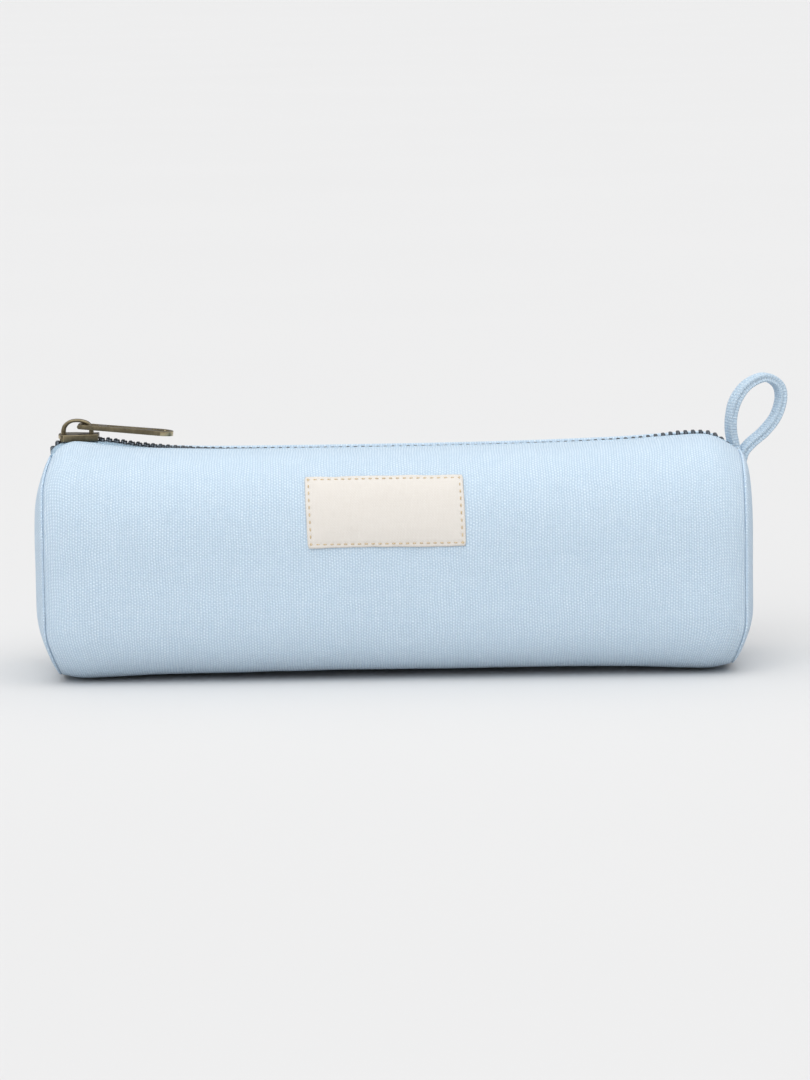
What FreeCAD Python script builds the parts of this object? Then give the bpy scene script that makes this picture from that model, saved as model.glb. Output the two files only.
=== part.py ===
import FreeCAD, Part
import math
import os

# A soft pencil case: a padded barrel of rounded-square section with domed ends, a zip along the
# top, a sewn label on the front and a hanging loop in the end seam.
# Millimetres. +X runs along the case, -Y is the front, +Z is up. The case rests on z = 0 and is
# centred on x = 0, y = 0. The zip is closed, with its slider at the -X end.

# Overall size of the case
caseLength = 220.0
caseDepth = 72.0
caseHeight = 72.0
cornerRadius = 18.0
endBulge = 5.0              # how far an end panel's middle stands out past its front edge

# Cloth layers, from outside to inside
canvasThickness = 0.9
foamThickness = 2.0
liningThickness = 0.4

# Zip
mouthWidth = 13.0           # between the folded edges of the canvas
tapeGap = 2.6               # between the two tapes' beaded edges
tapeReach = 12.5            # how far each tape runs sideways from the centre line
tapeThickness = 0.6
toothPitch = 2.29
toothWidth = 1.0
toothHeight = 2.4
toothOverlap = 0.4          # how far a closed tooth's head reaches past the centre line
toothReach = 2.6
toothSpread = 1.3           # how far each row is pushed out at the slider's nose
chainEndGap = 0.4

# Zip slider
sliderLength = 12.2
sliderStandOff = 1.6        # from the end of the teeth to the slider's nose
plateThickness = 1.1
plateClearance = 0.2
flangeThickness = 0.9
flangeClearance = 0.3
postHalfWidth = 0.6
postLength = 4.4
mergeLength = 9.0           # from the nose to where the two rows have met
bridgeWidth = 3.0
bridgeThickness = 0.9
bridgeHalfSpan = 4.6
bridgeShoulder = 1.2        # height of the bridge's straight legs
bridgeRise = 4.2

# Pull tab
pullLength = 28.6
pullThickness = 1.4
pullEyeHalfWidth = 3.1
pullHalfWidth = 4.0
pullSideClearance = 0.4     # between the bridge and the sides of the tab's eye
pullBarClearance = 0.25     # between the eye's round bar and the bridge above it
pullEyeLength = 5.7
pullHoleLength = 5.4
pullHoleWidth = 3.4
pullRim = 1.3
pullRecess = 0.25
pullRestClearance = 0.25    # between the lying tab's tip and the teeth

# Label
labelLength = 49.0
labelHeight = 22.0
labelThickness = 0.6
labelCentreX = -2.7
labelCentreZ = 51.0
stitchInset = 0.8
threadWidth = 0.4
threadHeight = 0.2
topstitchInset = 1.5        # from the canvas's folded edge to its stitching
topstitchEndGap = 2.0

# Seam bindings inside the case
bindingWidth = 6.5
bindingThickness = 1.2

# Hanging loop
loopOffset = 8.5            # how far behind the zip's centre line it is sewn in
loopWidth = 6.0
loopThickness = 3.0
loopRadius = 9.4
loopLean = 6.6              # sideways from the root to the loop's centre
loopTop = 90.0
loopYaw = 20.0
loopClearance = 0.3
loopCrotch = 0.4            # radius where the two legs part

halfLength = caseLength / 2
midHeight = caseHeight / 2
sphereRadius = ((caseDepth / 2) ** 2 + endBulge ** 2) / (2 * endBulge)
tapeTop = caseHeight - canvasThickness
chainHeight = tapeTop - tapeThickness / 2
plateInner = toothHeight / 2 + plateClearance
channelBottom = chainHeight - plateInner - plateThickness - plateClearance
prismOverrun = endBulge     # so that the prism's end never touches the domes


def vec(x, y, z):
    return FreeCAD.Vector(x, y, z)


def boxBetween(low, high):
    size = [high[i] - low[i] for i in range(3)]
    return Part.makeBox(size[0], size[1], size[2], vec(*low))


def solidOf(shape):
    """The one solid of a boolean result."""
    solids = shape.Solids
    if len(solids) != 1:
        raise ValueError("expected one solid, got %d" % len(solids))
    return solids[0]


def extrudeWire(edges, direction):
    return Part.Face(Part.Wire(edges)).extrude(direction)


# The case's own shape ---------------------------------------------------------------------

def sectionPrism(inset):
    """The rounded-square section, shrunk by inset and run past both of the case's ends."""
    y = caseDepth / 2 - inset
    low = inset
    high = caseHeight - inset
    radius = cornerRadius - inset
    x = -halfLength - prismOverrun
    shortY = y - radius
    bow = radius * math.sqrt(0.5)
    corners = [(1, low + radius, -1), (1, high - radius, 1), (-1, high - radius, 1), (-1, low + radius, -1)]
    arcs = []
    for index, (side, centreZ, up) in enumerate(corners):
        flat = vec(x, side * shortY, centreZ + up * radius)
        middle = vec(x, side * (shortY + bow), centreZ + up * bow)
        upright = vec(x, side * y, centreZ)
        ends = (flat, middle, upright) if index % 2 == 0 else (upright, middle, flat)
        arcs.append(ends)
    edges = []
    for index, (start, middle, end) in enumerate(arcs):
        edges.append(Part.Arc(start, middle, end).toShape())
        following = arcs[(index + 1) % len(arcs)][0]
        edges.append(Part.LineSegment(end, following).toShape())
    return extrudeWire(edges, vec(-2 * x, 0, 0))


def endSphere(side, inset):
    """The sphere that domes one end, shrunk by inset; its seam is turned away from the case."""
    sphere = Part.makeSphere(sphereRadius - inset)
    sphere.rotate(vec(0, 0, 0), vec(0, 0, 1), 90)
    sphere.translate(vec(side * (halfLength - sphereRadius), 0, midHeight))
    return sphere


def betweenSpheres(shape, inset):
    for side in (-1, 1):
        shape = shape.common(endSphere(side, inset))
    return shape


def endFaceX(inset, distance):
    """x of the domed end's face at a distance from the case's long axis."""
    return halfLength - sphereRadius + math.sqrt((sphereRadius - inset) ** 2 - distance ** 2)


def wrapLayer(inset, thickness):
    """Front, bottom, back and top of one cloth layer, before the zip's mouth is cut."""
    tube = sectionPrism(inset).cut(sectionPrism(inset + thickness))
    return betweenSpheres(tube, inset + thickness)


def endLayer(inset, thickness):
    """The right-hand domed end of one cloth layer."""
    shell = endSphere(1, inset).cut(endSphere(1, inset + thickness))
    return sectionPrism(inset).common(shell)


def cutMouth(shape):
    """Open the top along the zip, as deep as the slider needs."""
    mouth = boxBetween((-caseLength, -mouthWidth / 2, channelBottom),
                       (caseLength, mouthWidth / 2, caseHeight + canvasThickness))
    return shape.cut(mouth)


def cutTapePocket(shape):
    """Room for the tapes under the canvas, where the padding is sewn flat."""
    pocket = boxBetween((-caseLength, -tapeReach, tapeTop - tapeThickness),
                        (caseLength, tapeReach, tapeTop))
    return shape.cut(pocket)


def makeCloth():
    foamInset = canvasThickness
    liningInset = canvasThickness + foamThickness
    parts = {
        "outer_panel": cutMouth(wrapLayer(0, canvasThickness)),
        "body_interlining": cutTapePocket(cutMouth(wrapLayer(foamInset, foamThickness))),
        "body_lining": cutMouth(wrapLayer(liningInset, liningThickness)),
    }
    foam = cutMouth(endLayer(foamInset, foamThickness))
    rightEnd = {
        "end_panel": endLayer(0, canvasThickness),
        "end_interlining": cutTapePocket(foam),
        "end_lining": cutMouth(endLayer(liningInset, liningThickness)),
        "seam_binding": cutMouth(makeBinding()),
    }
    for name, shape in rightEnd.items():
        parts["right_" + name] = shape
        parts["left_" + name] = shape.mirror(vec(0, 0, 0), vec(1, 0, 0))
    return parts


def makeBinding():
    """A tape bound round the right end seam inside the case, against the lining."""
    inset = canvasThickness + foamThickness + liningThickness
    ring = sectionPrism(inset).cut(sectionPrism(inset + bindingThickness))
    ring = ring.common(endSphere(1, inset))
    cornerDistance = math.hypot(caseDepth / 2 - cornerRadius, midHeight - cornerRadius) + cornerRadius
    innerEdge = endFaceX(inset, cornerDistance) - bindingWidth
    return ring.common(boxBetween((innerEdge, -caseDepth, 0), (caseLength, caseDepth, caseHeight)))


# Zip --------------------------------------------------------------------------------------

chainReach = math.hypot(toothReach + toothSpread, chainHeight + toothHeight / 2 - midHeight)
chainEnd = endFaceX(canvasThickness, chainReach) - chainEndGap
sliderNose = -chainEnd + sliderStandOff
sliderTail = sliderNose + sliderLength


def makeTape(side):
    edges = sorted((side * tapeGap / 2, side * tapeReach))
    strip = boxBetween((-caseLength, edges[0], tapeTop - tapeThickness), (caseLength, edges[1], tapeTop))
    return betweenSpheres(strip, canvasThickness)


def rowSpread(x):
    """How far the slider holds a row of teeth from its closed place, at x."""
    share = (sliderNose + mergeLength - x) / (mergeLength - postLength - flangeClearance)
    share = min(max(share, 0.0), 1.0)
    return toothSpread * share * share * (3 - 2 * share)


def makeTooth(side, x):
    """One tooth, clamped over the edge of its tape; the head faces the other row."""
    spread = rowSpread(x)
    head = -toothOverlap + spread
    back = toothReach + spread
    root = tapeGap / 2
    low = chainHeight - toothHeight / 2
    high = chainHeight + toothHeight / 2
    slotLow = tapeTop - tapeThickness
    outline = [(head, low), (back, low), (back, slotLow), (root, slotLow),
               (root, tapeTop), (back, tapeTop), (back, high), (head, high)]
    corners = [vec(x - toothWidth / 2, side * y, z) for y, z in outline]
    edges = []
    for index, start in enumerate(corners):
        edges.append(Part.LineSegment(start, corners[(index + 1) % len(corners)]).toShape())
    return extrudeWire(edges, vec(toothWidth, 0, 0))


def makeTeeth(side):
    offset = 0.0 if side < 0 else toothPitch / 2
    room = 2 * chainEnd - toothWidth - offset
    count = int(room / toothPitch) + 1
    first = -chainEnd + toothWidth / 2 + offset
    return Part.makeCompound([makeTooth(side, first + index * toothPitch) for index in range(count)])


# Slider -----------------------------------------------------------------------------------

noseHalfWidth = toothReach + toothSpread + flangeClearance + flangeThickness
tailHalfWidth = toothReach + flangeClearance + flangeThickness
flareStart = sliderNose + postLength + flangeClearance
flareEnd = sliderNose + mergeLength
pivotX = sliderNose + sliderLength - bridgeHalfSpan - plateThickness
plateTop = chainHeight + plateInner + plateThickness
bridgeTop = plateTop + bridgeRise
pivotHeight = bridgeTop - bridgeThickness - pullBarClearance - pullThickness / 2


def sliderOutline(height):
    """Plan outline of a plate: wide rounded nose, flared in to a square tail."""
    cornerX = sliderNose + noseHalfWidth / 3
    cornerY = noseHalfWidth * 2 / 3
    rows = []
    for side in (-1, 1):
        rows.append([vec(sliderNose, side * cornerY / 2, height), vec(cornerX, side * noseHalfWidth, height),
                     vec(flareStart, side * noseHalfWidth, height), vec(flareEnd, side * tailHalfWidth, height),
                     vec(sliderTail, side * tailHalfWidth, height)])
    edges = [Part.LineSegment(rows[1][0], rows[0][0]).toShape()]
    for side, row in zip((-1, 1), rows):
        bulge = vec(sliderNose + noseHalfWidth / 12, side * cornerY, height)
        sideEdges = [Part.Arc(row[0], bulge, row[1]).toShape()]
        for start, end in zip(row[1:], row[2:]):
            sideEdges.append(Part.LineSegment(start, end).toShape())
        if side < 0:
            edges = edges + sideEdges
            edges.append(Part.LineSegment(rows[0][-1], rows[1][-1]).toShape())
        else:
            edges = edges + sideEdges[::-1]
    return Part.__sortEdges__(edges)


def sliderChannel(low, high):
    """The space between the side flanges, open at the nose and the tail."""
    wide = noseHalfWidth - flangeThickness
    narrow = tailHalfWidth - flangeThickness
    plan = [(sliderNose - sliderLength, wide), (flareStart, wide), (flareEnd, narrow),
            (sliderTail + sliderLength, narrow)]
    points = [vec(x, -y, low) for x, y in plan] + [vec(x, y, low) for x, y in reversed(plan)]
    return Part.Face(Part.makePolygon(points + points[:1])).extrude(vec(0, 0, high - low))


def makeSliderBody():
    """Top and bottom plates with side flanges, joined by a post between the two rows."""
    body = None
    for up in (-1, 1):
        inner = chainHeight + up * plateInner
        outer = inner + up * plateThickness
        lip = chainHeight + up * (tapeThickness / 2 + flangeClearance)
        low, high = sorted((inner, outer))
        plate = extrudeWire(sliderOutline(low), vec(0, 0, high - low))
        flangeLow, flangeHigh = sorted((inner, lip))
        flange = extrudeWire(sliderOutline(flangeLow), vec(0, 0, flangeHigh - flangeLow))
        flange = flange.cut(sliderChannel(flangeLow, flangeHigh))
        half = plate.fuse(flange)
        body = half if body is None else body.fuse(half)
    postStart = sliderNose + plateClearance
    low = chainHeight - plateInner
    ends = [vec(postStart, 0, low), vec(postStart + postLength, 0, low)]
    middle = postStart + postLength / 2
    edges = [Part.Arc(ends[0], vec(middle, -postHalfWidth, low), ends[1]).toShape(),
             Part.Arc(ends[1], vec(middle, postHalfWidth, low), ends[0]).toShape()]
    post = extrudeWire(edges, vec(0, 0, 2 * plateInner))
    return solidOf(body.fuse(post).removeSplitter())


def bridgeOutline(offset):
    """Arch over the pull's bar, in the XZ plane: straight legs and a round top."""
    halfSpan = bridgeHalfSpan - offset
    shoulder = plateTop + bridgeShoulder
    y = -bridgeWidth / 2
    left = vec(pivotX - halfSpan, y, shoulder)
    right = vec(pivotX + halfSpan, y, shoulder)
    return [Part.LineSegment(vec(left.x, y, plateTop), left).toShape(),
            Part.Arc(left, vec(pivotX, y, bridgeTop - offset), right).toShape(),
            Part.LineSegment(right, vec(right.x, y, plateTop)).toShape(),
            Part.LineSegment(vec(right.x, y, plateTop), vec(left.x, y, plateTop)).toShape()]


def makeBridge():
    across = vec(0, bridgeWidth, 0)
    arch = extrudeWire(bridgeOutline(0), across).cut(extrudeWire(bridgeOutline(bridgeThickness), across))
    return solidOf(arch)


def makePull():
    """The tab, drawn flat along +X from its round eye bar, then laid down about that bar."""
    half = pullThickness / 2
    tipCentre = pullLength - pullHalfWidth
    shoulder = pullEyeLength + pullRim
    points = [vec(0, -pullEyeHalfWidth, -half), vec(shoulder, -pullEyeHalfWidth, -half),
              vec(tipCentre, -pullHalfWidth, -half), vec(tipCentre, pullHalfWidth, -half),
              vec(shoulder, pullEyeHalfWidth, -half), vec(0, pullEyeHalfWidth, -half)]
    edges = []
    for index, start in enumerate(points):
        end = points[(index + 1) % len(points)]
        if index == 2:
            edges.append(Part.Arc(start, vec(pullLength, 0, -half), end).toShape())
        else:
            edges.append(Part.LineSegment(start, end).toShape())
    tab = extrudeWire(edges, vec(0, 0, pullThickness))
    eyeHalf = bridgeWidth / 2 + pullSideClearance
    tab = tab.cut(boxBetween((0, -eyeHalf, -half), (pullEyeLength, eyeHalf, half)))
    tab = tab.fuse(Part.makeCylinder(half, 2 * pullEyeHalfWidth, vec(0, -pullEyeHalfWidth, 0), vec(0, 1, 0)))
    tab = tab.cut(pullSlot(tipCentre, pullHoleLength, pullHoleWidth, -half, half))
    panelStart = shoulder + pullRim
    panelEnd = tipCentre - pullHoleLength / 2 - pullRim
    panelHalf = pullEyeHalfWidth - pullRim
    for up in (-1, 1):
        low, high = sorted((up * half, up * (half - pullRecess)))
        tab = tab.cut(boxBetween((panelStart, -panelHalf, low), (panelEnd, panelHalf, high)))
    tab = solidOf(tab.removeSplitter())
    rest = chainHeight + toothHeight / 2 + pullRestClearance
    droop = math.degrees(math.asin((pivotHeight - half - rest) / pullLength))
    tab.rotate(vec(0, 0, 0), vec(0, 1, 0), droop)
    tab.translate(vec(pivotX, 0, pivotHeight))
    return tab


def pullSlot(centreX, length, width, low, high):
    """An oval hole: two half-rounds joined by straight sides."""
    reach = (length - width) / 2
    height = high - low
    slot = boxBetween((centreX - reach, -width / 2, low), (centreX + reach, width / 2, high))
    for side in (-1, 1):
        slot = slot.fuse(Part.makeCylinder(width / 2, height, vec(centreX + side * reach, 0, low)))
    return slot


# Label and stitching ----------------------------------------------------------------------

def frontSkin(inset, thickness, inward):
    """A skin on the front face, as large as the label less inward on every side."""
    skin = sectionPrism(inset - thickness).cut(sectionPrism(inset))
    halfLong = labelLength / 2 - inward
    halfTall = labelHeight / 2 - inward
    window = boxBetween((labelCentreX - halfLong, -caseDepth, labelCentreZ - halfTall),
                        (labelCentreX + halfLong, 0, labelCentreZ + halfTall))
    return skin.common(window)


def makeLabelStitching():
    outer = frontSkin(-labelThickness, threadHeight, stitchInset)
    inner = frontSkin(-labelThickness, threadHeight, stitchInset + threadWidth)
    return outer.cut(inner)


def makeTopstitch(side):
    centre = side * (mouthWidth / 2 + topstitchInset)
    reach = endFaceX(canvasThickness, midHeight) - topstitchEndGap
    return boxBetween((-reach, centre - threadWidth / 2, caseHeight),
                      (reach, centre + threadWidth / 2, caseHeight + threadHeight))


# Hanging loop -----------------------------------------------------------------------------

loopRootX = endFaceX(0, midHeight)
loopRootZ = caseHeight + loopClearance + loopThickness


def beltOutline(offset, rootRadius):
    """The outline of a belt round the root and the loop's round top, in the XZ plane."""
    y = loopOffset - loopWidth / 2
    centreX = loopRootX + loopLean
    centreZ = loopTop - loopRadius
    radius = loopRadius - offset
    distance = math.hypot(loopLean, centreZ - loopRootZ)
    lean = math.atan2(centreZ - loopRootZ, loopLean)
    wrapAngle = math.acos((radius - rootRadius) / distance)
    left = lean + math.pi - wrapAngle
    right = lean - math.pi + wrapAngle

    def onCircle(x, z, r, angle):
        return vec(x + r * math.cos(angle), y, z + r * math.sin(angle))

    top = [onCircle(centreX, centreZ, radius, angle) for angle in (right, lean, left)]
    foot = [onCircle(loopRootX, loopRootZ, rootRadius, angle) for angle in (left, lean + math.pi, right)]
    return [Part.Arc(*top).toShape(), Part.LineSegment(top[2], foot[0]).toShape(),
            Part.Arc(*foot).toShape(), Part.LineSegment(foot[2], top[0]).toShape()]


def turnLoop(shape):
    shape.rotate(vec(loopRootX, loopOffset, 0), vec(0, 0, 1), loopYaw)
    return shape


def makeLoop():
    across = vec(0, loopWidth, 0)
    outer = extrudeWire(beltOutline(0, loopThickness), across)
    inner = extrudeWire(beltOutline(loopThickness, loopCrotch), across)
    return turnLoop(solidOf(outer.cut(inner)))


def makeLoopStitching():
    """A thread round the middle of the strip's outer face, ending at the root."""
    across = vec(0, threadWidth, 0)
    outer = extrudeWire(beltOutline(-threadHeight, loopThickness + threadHeight), across)
    inner = extrudeWire(beltOutline(0, loopThickness), across)
    thread = outer.cut(inner)
    thread.translate(vec(0, (loopWidth - threadWidth) / 2, 0))
    root = boxBetween((loopRootX - caseHeight, 0, 0), (loopRootX + caseHeight, caseDepth, loopRootZ))
    return turnLoop(solidOf(thread.cut(root)))


# All pieces -------------------------------------------------------------------------------

def makeParts():
    parts = makeCloth()
    for side, name in ((-1, "front"), (1, "rear")):
        parts["zipper_tape_" + name] = makeTape(side)
        parts["zipper_teeth_" + name] = makeTeeth(side)
        parts["topstitch_" + name] = makeTopstitch(side)
    parts["slider_body"] = makeSliderBody()
    parts["slider_bridge"] = makeBridge()
    parts["pull_tab"] = makePull()
    parts["label"] = frontSkin(0, labelThickness, 0)
    parts["label_stitching"] = makeLabelStitching()
    parts["hanging_loop"] = makeLoop()
    parts["loop_stitching"] = makeLoopStitching()
    return parts


os.makedirs("parts", exist_ok=True)
for name, shape in makeParts().items():
    shape.exportStep("parts/%s.step" % name)
    box = shape.BoundBox
    print("%-24s %3d solids %9.1f mm3  x %.1f..%.1f  y %.1f..%.1f  z %.1f..%.1f" % (
        name, len(shape.Solids), shape.Volume, box.XMin, box.XMax, box.YMin, box.YMax, box.ZMin, box.ZMax))
print("slider travel room: nose %.2f tail %.2f chain end %.2f" % (sliderNose, sliderTail, chainEnd))
print("pull pivot: x %.3f z %.3f" % (pivotX, pivotHeight))
print("loop root: x %.3f y %.3f z %.3f" % (loopRootX, loopOffset, loopRootZ))
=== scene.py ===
import bpy
import bmesh
import math
import numpy as np
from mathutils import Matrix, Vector, noise


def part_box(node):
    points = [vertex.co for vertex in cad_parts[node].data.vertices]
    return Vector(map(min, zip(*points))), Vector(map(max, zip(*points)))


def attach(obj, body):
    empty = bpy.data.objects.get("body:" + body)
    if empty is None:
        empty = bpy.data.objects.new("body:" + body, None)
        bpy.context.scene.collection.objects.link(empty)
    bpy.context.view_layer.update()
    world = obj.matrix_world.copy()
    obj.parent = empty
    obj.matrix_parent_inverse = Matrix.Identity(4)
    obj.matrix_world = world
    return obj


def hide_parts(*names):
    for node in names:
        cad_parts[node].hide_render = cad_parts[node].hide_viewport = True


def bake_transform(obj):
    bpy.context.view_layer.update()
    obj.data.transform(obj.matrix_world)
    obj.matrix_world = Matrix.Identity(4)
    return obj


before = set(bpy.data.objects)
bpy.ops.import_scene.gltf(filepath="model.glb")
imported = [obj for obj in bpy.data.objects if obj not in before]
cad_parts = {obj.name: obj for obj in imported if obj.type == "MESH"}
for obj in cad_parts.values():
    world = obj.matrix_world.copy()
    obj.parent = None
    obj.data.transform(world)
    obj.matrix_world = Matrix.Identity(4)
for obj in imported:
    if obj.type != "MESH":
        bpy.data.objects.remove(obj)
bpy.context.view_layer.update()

# Soft canvas pencil case. Shapes are worked out in millimetres and turned to metres when a mesh is made.
toMetres = 0.001
scene = bpy.context.scene
print("frame loaded")


def boxMm(node):
    low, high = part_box(node)
    return low * 1000, high * 1000


# camera first, at the height of someone sitting at a desk
cameraSetup = {
    "distance": 1.47, "elevation": 7.3, "azimuth": 0.0, "roll": -0.9, "lens": 160.0,
    "aim": (3.2, 0.0, 39.0),
}


def addCamera(setup):
    cam = bpy.data.objects.new("camera", bpy.data.cameras.new("camera"))
    scene.collection.objects.link(cam)
    scene.camera = cam
    cam.data.lens = setup["lens"]
    cam.data.sensor_width = 36.0
    lift, turn = math.radians(setup["elevation"]), math.radians(setup["azimuth"])
    back = Vector((math.sin(turn) * math.cos(lift), -math.cos(turn) * math.cos(lift), math.sin(lift)))
    cam.location = Vector(setup["aim"]) * toMetres + back * setup["distance"]
    cam.rotation_euler = (-back).to_track_quat("-Z", "Y").to_euler()
    cam.rotation_euler.rotate_axis("Z", math.radians(setup["roll"]))
    return cam


addCamera(cameraSetup)


# ---- materials
def hexColour(text):
    # sRGB hex to linear, as the shader sockets want it
    parts = [int(text[i:i + 2], 16) / 255 for i in (1, 3, 5)]
    return tuple(c / 12.92 if c <= 0.04045 else ((c + 0.055) / 1.055) ** 2.4 for c in parts) + (1.0,)


def addNode(tree, kind, settings=None, inputs=None):
    # a node with its settings; an input is a value, or a socket to link from
    node = tree.nodes.new(kind)
    for key, value in (settings or {}).items():
        setattr(node, key, value)
    for key, value in (inputs or {}).items():
        if isinstance(value, bpy.types.NodeSocket):
            tree.links.new(value, node.inputs[key])
        else:
            node.inputs[key].default_value = value
    return node


def math2(tree, operation, a, b=0.0):
    return addNode(tree, "ShaderNodeMath", {"operation": operation}, {0: a, 1: b}).outputs[0]


def newMaterial(name):
    material = bpy.data.materials.new(name)
    material.use_nodes = True
    tree = material.node_tree
    tree.nodes.clear()
    shader = addNode(tree, "ShaderNodeBsdfPrincipled")
    addNode(tree, "ShaderNodeOutputMaterial", None, {"Surface": shader.outputs[0]})
    return material, tree, shader


def mixColours(tree, share, first, second):
    node = addNode(tree, "ShaderNodeMix", {"data_type": "RGBA"}, {"Factor": share, 6: first, 7: second})
    return node.outputs[2]


def bumpFrom(tree, height, strength, depthMm):
    settings = {"Strength": strength, "Distance": depthMm * toMetres, "Height": height}
    return addNode(tree, "ShaderNodeBump", None, settings).outputs[0]


def setUp(tree, shader, colour, roughness, normal):
    # colour and normal are sockets; roughness is a socket or a number
    tree.links.new(colour, shader.inputs["Base Color"])
    tree.links.new(normal, shader.inputs["Normal"])
    if isinstance(roughness, float):
        shader.inputs["Roughness"].default_value = roughness
    else:
        tree.links.new(roughness, shader.inputs["Roughness"])


def weavePattern(tree, pitchAcross, pitchAlong):
    # plain weave on the piece's own UV map, which is in millimetres: each thread rises over one
    # and dives under the next, and the tighter cross threads lie lower. Gives the height, and a
    # random value for the thread on top
    uv = addNode(tree, "ShaderNodeUVMap", {"uv_map": "cloth"}).outputs[0]
    sway = addNode(tree, "ShaderNodeTexNoise", None, {"Vector": uv, "Scale": 0.09, "Detail": 2.0}).outputs["Color"]
    swayed = addNode(tree, "ShaderNodeVectorMath", {"operation": "MULTIPLY_ADD"},
                     {0: sway, 1: (1.6, 1.6, 0.0), 2: uv}).outputs[0]
    split = addNode(tree, "ShaderNodeSeparateXYZ", None, {0: swayed})
    cells = []
    waves = []
    for socket, pitch in ((split.outputs[0], pitchAcross), (split.outputs[1], pitchAlong)):
        cell = math2(tree, "MULTIPLY", socket, 1 / pitch)
        cells.append(cell)
        waves.append(math2(tree, "SINE", math2(tree, "MULTIPLY", cell, math.pi)))
    both = math2(tree, "MULTIPLY", waves[0], waves[1])
    warp = math2(tree, "ADD", math2(tree, "ABSOLUTE", waves[0]), both)
    weft = math2(tree, "SUBTRACT", math2(tree, "ABSOLUTE", waves[1]), both)
    height = math2(tree, "MAXIMUM", math2(tree, "MULTIPLY", warp, 0.5), math2(tree, "MULTIPLY", weft, 0.24))
    warpOnTop = math2(tree, "GREATER_THAN", warp, weft)
    threads = []
    for cell, other, offset in ((cells[0], cells[1], 0.3), (cells[1], cells[0], 0.7)):
        row = math2(tree, "FLOOR", cell)
        place = addNode(tree, "ShaderNodeCombineXYZ", None,
                        {0: math2(tree, "MULTIPLY", row, 7.31), 1: math2(tree, "MULTIPLY", other, 0.11), 2: offset})
        slub = addNode(tree, "ShaderNodeTexNoise", None, {"Vector": place.outputs[0], "Scale": 1.0, "Detail": 1.0})
        threads.append(slub.outputs[0])
    tone = addNode(tree, "ShaderNodeMix", {"data_type": "FLOAT"},
                   {"Factor": warpOnTop, 2: threads[1], 3: threads[0]}).outputs[0]
    return height, tone


def clothMaterial(name, look):
    # cotton and polyester cloth: rough, no gloss, a little sheen from loose fibres; the gaps
    # between threads get painted shade and each thread's tone wanders
    material, tree, shader = newMaterial(name)
    height, tone = weavePattern(tree, look["pitchAcross"], look["pitchAlong"])
    base = mixColours(tree, tone, hexColour(look["dark"]), hexColour(look["light"]))
    # painted shade: where the weave lies low, in the gaps between threads, the colour is mixed towards a darker shade
    # colour
    gap = addNode(tree, "ShaderNodeMapRange", None,
                  {"Value": height, "From Min": 0.1, "From Max": 0.72, "To Min": look["gap"], "To Max": 0.0})
    shaded = mixColours(tree, gap.outputs[0], base, hexColour(look["deep"]))
    objectPlace = addNode(tree, "ShaderNodeTexCoord").outputs["Object"]
    cloudy = addNode(tree, "ShaderNodeTexNoise", None, {"Vector": objectPlace, "Scale": 38.0, "Detail": 4.0})
    patchiness = {"Value": cloudy.outputs[0], "From Min": 0.3, "From Max": 0.7, "To Min": 0.0, "To Max": look["cloud"]}
    cloud = addNode(tree, "ShaderNodeMapRange", None, patchiness)
    final = mixColours(tree, cloud.outputs[0], shaded, hexColour(look["dark"]))
    fuzz = addNode(tree, "ShaderNodeTexNoise", None, {"Vector": objectPlace, "Scale": 5200.0, "Detail": 2.0})
    relief = math2(tree, "MULTIPLY_ADD", fuzz.outputs[0], 0.25)
    tree.links.new(height, relief.node.inputs[2])
    rough = addNode(tree, "ShaderNodeMapRange", None,
                    {"Value": tone, "To Min": look["rough"] - 0.05, "To Max": look["rough"] + 0.06})
    setUp(tree, shader, final, rough.outputs[0], bumpFrom(tree, relief, look["bump"], look["depth"]))
    shader.inputs["Sheen Weight"].default_value = look["sheen"]
    shader.inputs["Sheen Roughness"].default_value = 0.5
    shader.inputs["Specular IOR Level"].default_value = 0.25
    return material


# gap sets how strongly painted shade darkens the gaps between threads, towards the shade colour
canvasLook = {
    "pitchAcross": 0.8, "pitchAlong": 0.5, "dark": "#c6daea", "light": "#e1eef8", "deep": "#96b0c8",
    "gap": 0.6, "cloud": 0.16, "bump": 0.8, "depth": 0.25, "rough": 0.86, "sheen": 0.06,
}
wovenCanvas = clothMaterial("cotton canvas, plain woven and piece dyed", canvasLook)
# the folded strip shows the same threads across its width
loopCanvas = clothMaterial("cotton canvas, folded strip", {
    **canvasLook, "pitchAcross": 0.85, "pitchAlong": 0.7, "dark": "#c0d4e3", "light": "#dceaf4",
})
# woven flat and close, with fine ribs along it
zipTapeCloth = clothMaterial("polyester zip tape, woven", {
    **canvasLook, "pitchAcross": 0.9, "pitchAlong": 0.45, "dark": "#9fb9cc", "light": "#bfd5e4", "deep": "#6f8ba2",
})
# undyed, with about twice the canvas's threads
labelCloth = clothMaterial("cotton label, fine plain weave", {
    **canvasLook, "pitchAcross": 0.42, "pitchAlong": 0.42, "dark": "#d9d4cd", "light": "#e7e4df", "deep": "#c9bfb2",
    "gap": 0.35, "cloud": 0.3, "bump": 0.4, "depth": 0.1,
})
# thin and smooth, so the threads hardly show
liningCloth = clothMaterial("polyester lining, close woven", {
    **canvasLook, "pitchAcross": 0.3, "pitchAlong": 0.3, "dark": "#a9bccb", "light": "#bccdd9", "deep": "#8fa3b3",
    "gap": 0.3, "bump": 0.3, "depth": 0.06, "rough": 0.6,
})
bindingCloth = clothMaterial("cotton bias tape, woven", {
    **canvasLook, "pitchAcross": 0.4, "pitchAlong": 0.4, "dark": "#9db2c3", "light": "#b4c7d6",
})


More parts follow.
